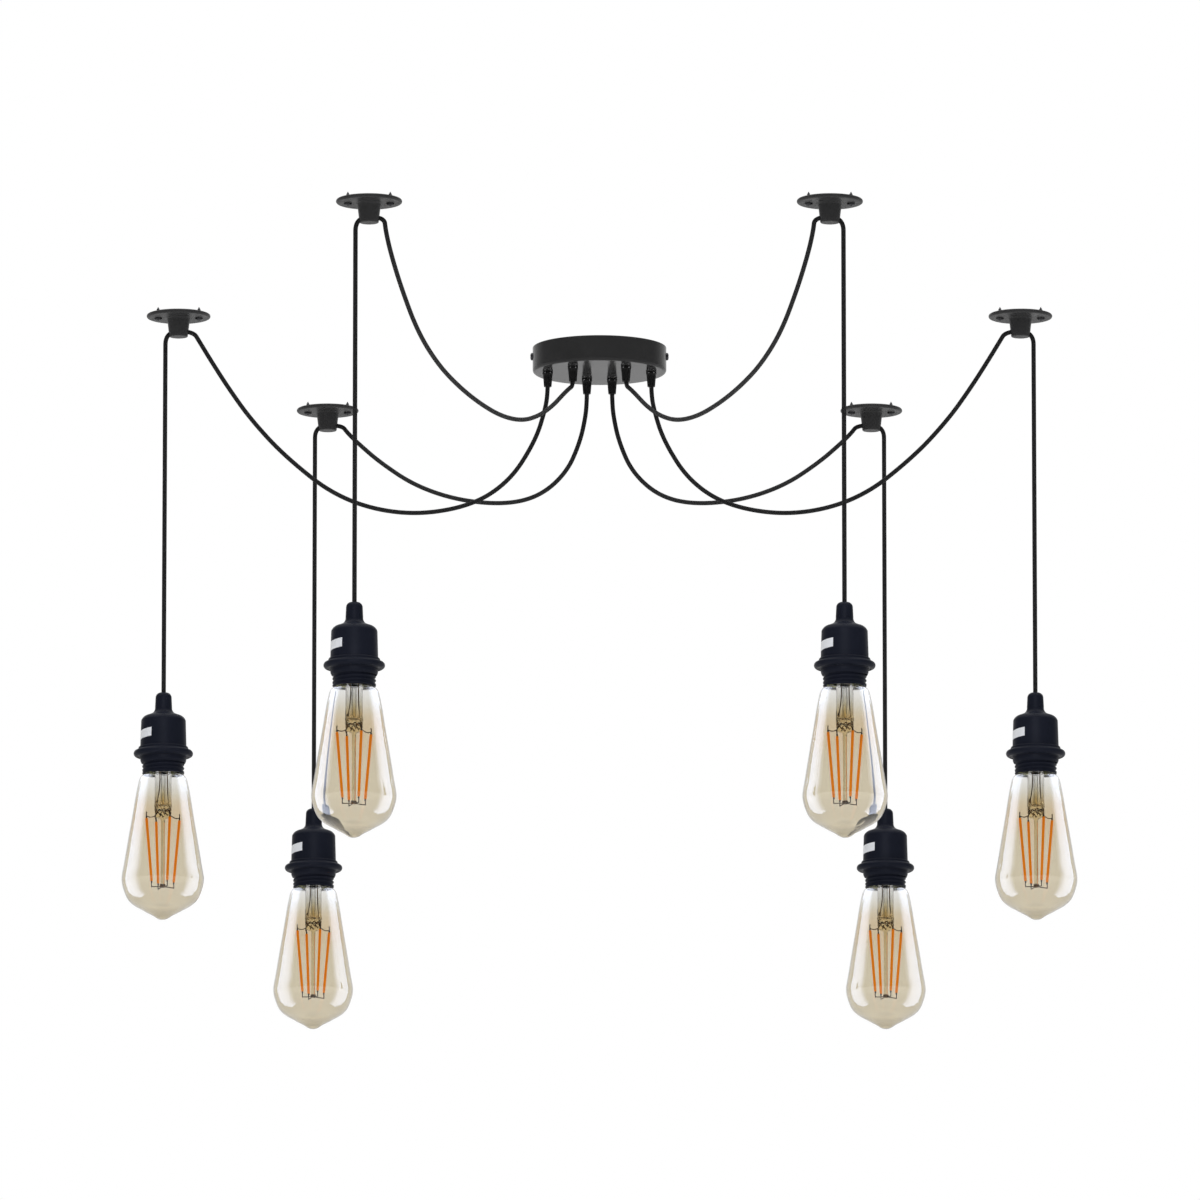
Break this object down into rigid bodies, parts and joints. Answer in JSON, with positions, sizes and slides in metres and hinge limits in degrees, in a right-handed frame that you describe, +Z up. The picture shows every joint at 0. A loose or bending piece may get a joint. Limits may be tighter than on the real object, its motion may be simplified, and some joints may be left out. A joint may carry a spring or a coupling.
{
  "type": "spider pendant light",
  "caption": "Spider pendant light: cords fan out from one round ceiling rose to ceiling hooks and hang down, each with a lamp holder and a screw-in filament bulb.",
  "frame": {"origin": "middle of the ceiling rose at the ceiling, on the mounting bracket's upper face", "axes": "+Z up, +X to the right and +Y to the back as the picture shows the light"},
  "size_m": [0.7444, 0.899, 0.5134],
  "materials": {
    "rose_paint": "satin",
    "bracket_steel": "zinc plated",
    "block_plastic": "matte",
    "grip_plastic": "satin",
    "hook_plastic": "satin",
    "screw_steel": "blackened",
    "cord_textile": "braided",
    "holder_plastic": "satin",
    "contact_metal": "plain",
    "base_metal": "plated",
    "amber_glass": "clear amber",
    "filament_coating": "phosphor coated"
  },
  "bodies": {
    "ceiling_set": {"mounting_bracket": "bracket_steel", "terminal_block": "block_plastic", "canopy": "rose_paint", "cord_grips": "grip_plastic", "ceiling_hooks": "hook_plastic", "screws": "screw_steel", "cord_swag_front_left": "cord_textile", "cord_swag_front_right": "cord_textile", "cord_swag_side_left": "cord_textile", "cord_swag_side_right": "cord_textile", "cord_swag_back_left": "cord_textile", "cord_swag_back_right": "cord_textile"},
    "pendant_front_left": {"cord_drop_front_left": "cord_textile", "holder_cap_front_left": "holder_plastic", "holder_barrel_front_left": "holder_plastic", "holder_contacts_front_left": "contact_metal"},
    "ring_front_left": {"shade_ring_front_left": "holder_plastic"},
    "bulb_front_left": {"bulb_base_front_left": "base_metal", "bulb_glass_front_left": "amber_glass", "bulb_filament_front_left": "filament_coating"},
    "pendant_front_right": {"cord_drop_front_right": "cord_textile", "holder_cap_front_right": "holder_plastic", "holder_barrel_front_right": "holder_plastic", "holder_contacts_front_right": "contact_metal"},
    "ring_front_right": {"shade_ring_front_right": "holder_plastic"},
    "bulb_front_right": {"bulb_base_front_right": "base_metal", "bulb_glass_front_right": "amber_glass", "bulb_filament_front_right": "filament_coating"},
    "pendant_side_left": {"cord_drop_side_left": "cord_textile", "holder_cap_side_left": "holder_plastic", "holder_barrel_side_left": "holder_plastic", "holder_contacts_side_left": "contact_metal"},
    "ring_side_left": {"shade_ring_side_left": "holder_plastic"},
    "bulb_side_left": {"bulb_base_side_left": "base_metal", "bulb_glass_side_left": "amber_glass", "bulb_filament_side_left": "filament_coating"},
    "pendant_side_right": {"cord_drop_side_right": "cord_textile", "holder_cap_side_right": "holder_plastic", "holder_barrel_side_right": "holder_plastic", "holder_contacts_side_right": "contact_metal"},
    "ring_side_right": {"shade_ring_side_right": "holder_plastic"},
    "bulb_side_right": {"bulb_base_side_right": "base_metal", "bulb_glass_side_right": "amber_glass", "bulb_filament_side_right": "filament_coating"},
    "pendant_back_left": {"cord_drop_back_left": "cord_textile", "holder_cap_back_left": "holder_plastic", "holder_barrel_back_left": "holder_plastic", "holder_contacts_back_left": "contact_metal"},
    "ring_back_left": {"shade_ring_back_left": "holder_plastic"},
    "bulb_back_left": {"bulb_base_back_left": "base_metal", "bulb_glass_back_left": "amber_glass", "bulb_filament_back_left": "filament_coating"},
    "pendant_back_right": {"cord_drop_back_right": "cord_textile", "holder_cap_back_right": "holder_plastic", "holder_barrel_back_right": "holder_plastic", "holder_contacts_back_right": "contact_metal"},
    "ring_back_right": {"shade_ring_back_right": "holder_plastic"},
    "bulb_back_right": {"bulb_base_back_right": "base_metal", "bulb_glass_back_right": "amber_glass", "bulb_filament_back_right": "filament_coating"}
  },
  "joints": [
    {"name": "swing_front_left", "type": "hinge", "parent": "ceiling_set", "child": "pendant_front_left", "pos_m": [-0.1842, -0.58, -0.0229], "axis": [1, 0, 0], "range_deg": [-20, 20]},
    {"name": "ring_travel_front_left", "type": "slide", "parent": "pendant_front_left", "child": "ring_front_left", "axis": [0, 0, -1], "range_m": [0, 0.005]},
    {"name": "bulb_removal_front_left", "type": "slide", "parent": "pendant_front_left", "child": "bulb_front_left", "axis": [0, 0, -1], "range_m": [0, 0.028]},
    {"name": "swing_front_right", "type": "hinge", "parent": "ceiling_set", "child": "pendant_front_right", "pos_m": [0.1842, -0.58, -0.0229], "axis": [1, 0, 0], "range_deg": [-20, 20]},
    {"name": "ring_travel_front_right", "type": "slide", "parent": "pendant_front_right", "child": "ring_front_right", "axis": [0, 0, -1], "range_m": [0, 0.005]},
    {"name": "bulb_removal_front_right", "type": "slide", "parent": "pendant_front_right", "child": "bulb_front_right", "axis": [0, 0, -1], "range_m": [0, 0.028]},
    {"name": "swing_side_left", "type": "hinge", "parent": "ceiling_set", "child": "pendant_side_left", "pos_m": [-0.3402, -0.136, -0.0229], "axis": [1, 0, 0], "range_deg": [-20, 20]},
    {"name": "ring_travel_side_left", "type": "slide", "parent": "pendant_side_left", "child": "ring_side_left", "axis": [0, 0, -1], "range_m": [0, 0.005]},
    {"name": "bulb_removal_side_left", "type": "slide", "parent": "pendant_side_left", "child": "bulb_side_left", "axis": [0, 0, -1], "range_m": [0, 0.028]},
    {"name": "swing_side_right", "type": "hinge", "parent": "ceiling_set", "child": "pendant_side_right", "pos_m": [0.3402, -0.136, -0.0229], "axis": [1, 0, 0], "range_deg": [-20, 20]},
    {"name": "ring_travel_side_right", "type": "slide", "parent": "pendant_side_right", "child": "ring_side_right", "axis": [0, 0, -1], "range_m": [0, 0.005]},
    {"name": "bulb_removal_side_right", "type": "slide", "parent": "pendant_side_right", "child": "bulb_side_right", "axis": [0, 0, -1], "range_m": [0, 0.028]},
    {"name": "swing_back_left", "type": "hinge", "parent": "ceiling_set", "child": "pendant_back_left", "pos_m": [-0.2302, 0.255, -0.0229], "axis": [1, 0, 0], "range_deg": [-20, 20]},
    {"name": "ring_travel_back_left", "type": "slide", "parent": "pendant_back_left", "child": "ring_back_left", "axis": [0, 0, -1], "range_m": [0, 0.005]},
    {"name": "bulb_removal_back_left", "type": "slide", "parent": "pendant_back_left", "child": "bulb_back_left", "axis": [0, 0, -1], "range_m": [0, 0.028]},
    {"name": "swing_back_right", "type": "hinge", "parent": "ceiling_set", "child": "pendant_back_right", "pos_m": [0.2302, 0.255, -0.0229], "axis": [1, 0, 0], "range_deg": [-20, 20]},
    {"name": "ring_travel_back_right", "type": "slide", "parent": "pendant_back_right", "child": "ring_back_right", "axis": [0, 0, -1], "range_m": [0, 0.005]},
    {"name": "bulb_removal_back_right", "type": "slide", "parent": "pendant_back_right", "child": "bulb_back_right", "axis": [0, 0, -1], "range_m": [0, 0.028]}
  ]
}
